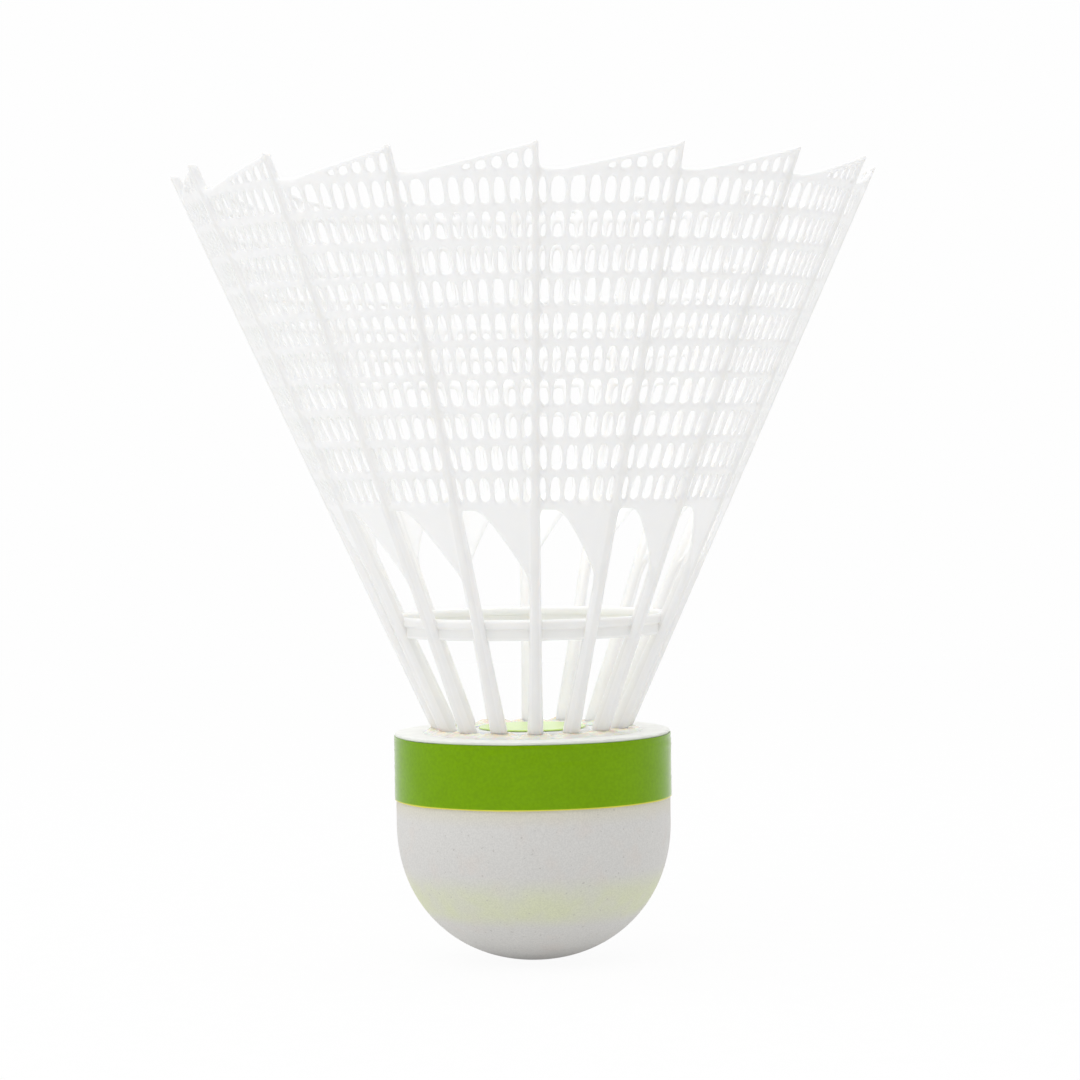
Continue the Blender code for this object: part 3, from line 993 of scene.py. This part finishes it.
def make_world():
    """A white backdrop for the camera. For everything else the room is bright behind and dim in front."""
    world = bpy.data.worlds.new("studio")
    bpy.context.scene.world = world
    world.use_nodes = True
    tree = world.node_tree
    tree.nodes.clear()
    direction = tree.nodes.new("ShaderNodeTexCoord").outputs["Generated"]
    facing = tree.nodes.new("ShaderNodeVectorMath")
    facing.operation = "DOT_PRODUCT"
    facing.inputs[1].default_value = ROOM_AXIS
    tree.links.new(direction, facing.inputs[0])
    depth = tree.nodes.new("ShaderNodeMapRange")
    depth.interpolation_type = "SMOOTHSTEP"
    depth.inputs["From Min"].default_value = ROOM_TURN[0]
    depth.inputs["From Max"].default_value = ROOM_TURN[1]
    depth.inputs["To Min"].default_value = ROOM_FRONT
    depth.inputs["To Max"].default_value = ROOM_BACK
    tree.links.new(facing.outputs["Value"], depth.inputs["Value"])
    room = tree.nodes.new("ShaderNodeBackground")
    tree.links.new(depth.outputs[0], room.inputs["Strength"])
    backdrop = tree.nodes.new("ShaderNodeBackground")
    backdrop.inputs["Color"].default_value = (BACKDROP, BACKDROP, BACKDROP, 1)
    seen = tree.nodes.new("ShaderNodeLightPath").outputs["Is Camera Ray"]
    mix = tree.nodes.new("ShaderNodeMixShader")
    tree.links.new(seen, mix.inputs[0])
    tree.links.new(room.outputs[0], mix.inputs[1])
    tree.links.new(backdrop.outputs[0], mix.inputs[2])
    output = tree.nodes.new("ShaderNodeOutputWorld")
    tree.links.new(mix.outputs[0], output.inputs["Surface"])


def make_floor():
    """A pale matt floor. The camera sees it as part of the white backdrop, with only faint shadows."""
    half = FLOOR_SIZE / 2
    corners = [(-half, -half, 0), (half, -half, 0), (half, half, 0), (-half, half, 0)]
    floor = mesh_object("floor", corners, [(0, 1, 2, 3)])
    paint = Paint("pale_floor", Roughness=0.9, Specular_IOR_Level=0.0)
    seen = paint.node("ShaderNodeLightPath").outputs["Is Camera Ray"]
    distance = paint.node("ShaderNodeVectorMath", {0: paint.place}, operation="LENGTH").outputs["Value"]
    near, far = (fade / MM for fade in FLOOR_FADE)
    matt = paint.spread(distance, near, far, FLOOR_MATT, 0.0)
    glow = paint.node("ShaderNodeMath", {0: BACKDROP, 1: matt}, operation="SUBTRACT").outputs[0]
    matt = paint.times(matt, paint.varied(3.0, 0.97, 1.03))
    albedo = paint.node("ShaderNodeMix", {0: seen, 2: FLOOR_ALBEDO, 3: matt}).outputs[0]
    paint.set(paint.shader, {
        "Base Color": paint.node("ShaderNodeCombineColor", {0: albedo, 1: albedo, 2: albedo}).outputs[0],
        "Emission Color": (1.0, 1.0, 1.0),
        "Emission Strength": paint.node("ShaderNodeMix", {0: seen, 2: FLOOR_BOUNCE, 3: glow}).outputs[0],
    })
    floor.data.materials.append(paint.material)


def make_softbox(name, place, size, power, aim):
    light = bpy.data.lights.new(name, "AREA")
    light.shape = "SQUARE"
    light.size = size
    light.energy = power
    softbox = bpy.data.objects.new(name, light)
    bpy.context.scene.collection.objects.link(softbox)
    softbox.location = place
    softbox.rotation_euler = (Vector(aim) - Vector(place)).to_track_quat("-Z", "Y").to_euler()
    softbox.visible_camera = False


def make_camera():
    data = bpy.data.cameras.new("camera")
    data.lens = CAMERA_LENS
    data.sensor_width = CAMERA_SENSOR
    data.clip_start, data.clip_end = CAMERA_CLIP
    camera = bpy.data.objects.new("camera", data)
    bpy.context.scene.collection.objects.link(camera)
    place = Vector(polar(CAMERA_DISTANCE, CAMERA_ANGLE, CAMERA_HEIGHT))
    right = Vector((math.cos(CAMERA_ANGLE), math.sin(CAMERA_ANGLE), 0))
    aim = right * CAMERA_AIM[0] + Vector((0, 0, CAMERA_AIM[1]))
    turn = (aim - place).to_track_quat("-Z", "Y")
    roll = Quaternion((0, 0, 1), CAMERA_ROLL)
    camera.location = place
    camera.rotation_euler = (turn @ roll).to_euler()
    bpy.context.scene.camera = camera


# ---------------------------------------------------------------- the shuttlecock


def finish_piece(piece, material, node):
    """Gives a piece its material, attaches it to the body's empty and hides the CAD node that it stands for.
    """
    piece.data.materials.clear()
    piece.data.materials.append(material)
    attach(piece, BODY)
    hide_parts(node)


def main():
    finish_piece(make_skirt(), nylon_material(), "skirt")
    finish_piece(make_cover(), cover_material(), "base_cover")
    finish_piece(make_facing(), facing_material(), "top_facing")
    finish_piece(make_tape(), tape_material(), "colour_band")
    finish_piece(make_glue(), glue_material(), "adhesive")
    finish_piece(make_label(), label_material(), "centre_label")
    cork = cork_material()
    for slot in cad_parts["base_core"].material_slots:
        slot.material = cork
    make_world()
    make_floor()
    make_softbox("top_light", TOP_LIGHT_PLACE, TOP_LIGHT_SIZE, TOP_LIGHT_POWER, TOP_LIGHT_AIM)
    make_camera()
    bpy.context.scene.view_settings.view_transform = "Standard"


main()
